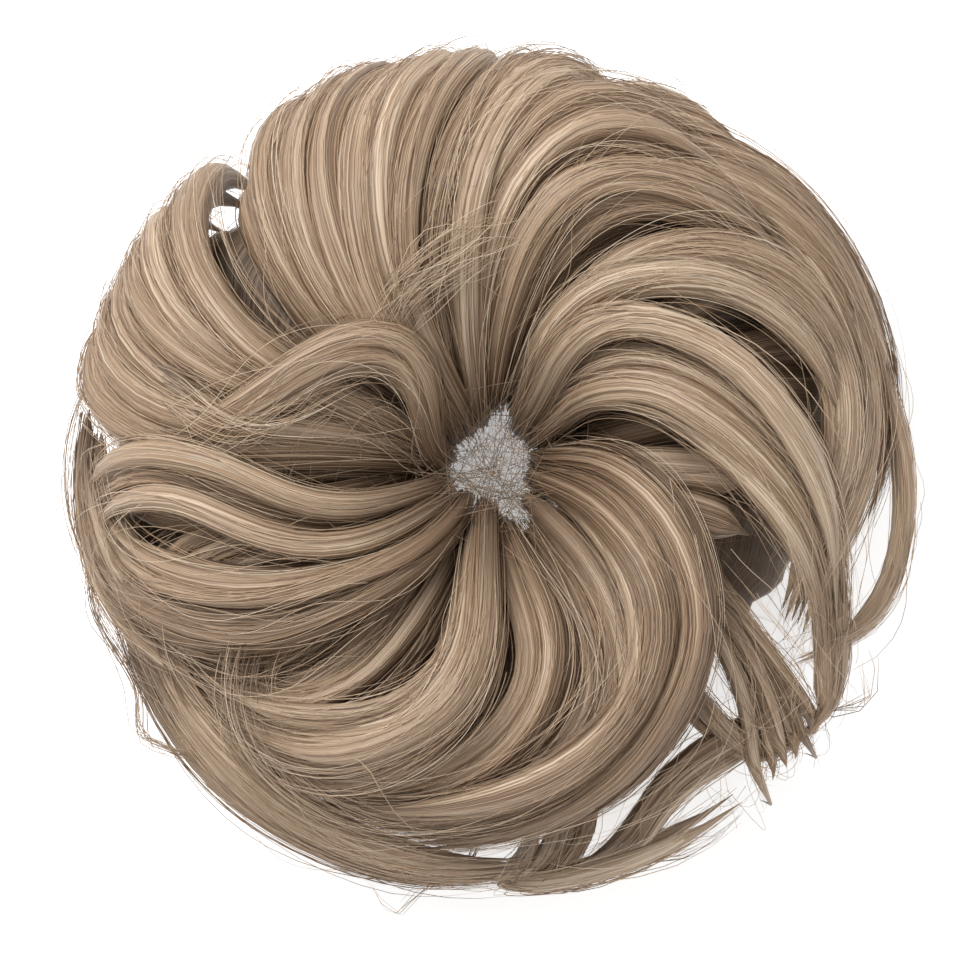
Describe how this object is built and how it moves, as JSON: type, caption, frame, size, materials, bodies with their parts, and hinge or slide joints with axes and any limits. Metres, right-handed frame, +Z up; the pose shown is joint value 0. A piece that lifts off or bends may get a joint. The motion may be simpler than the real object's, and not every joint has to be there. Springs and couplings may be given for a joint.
{
  "type": "top knot hairpiece",
  "caption": "Ring of loose wavy hair locks on an elastic loop, worn round a knot of hair as a messy bun.",
  "frame": {"origin": "under the middle of the whole piece, on the surface it lies on", "axes": "+Z up through the hole, out of the crown of the bun; +X and +Y lie across the ring, as seen from above with +Y away from the viewer"},
  "size_m": [0.166, 0.168, 0.0671],
  "materials": {
    "hair": "ash blonde synthetic hair fibre, soft sheen",
    "weft": "plain sewn weft tape",
    "elastic_band": "covered elastic, matte"
  },
  "bodies": {
    "root": {"hair": "hair", "weft": "weft", "elastic_band": "elastic_band"}
  },
  "joints": []
}
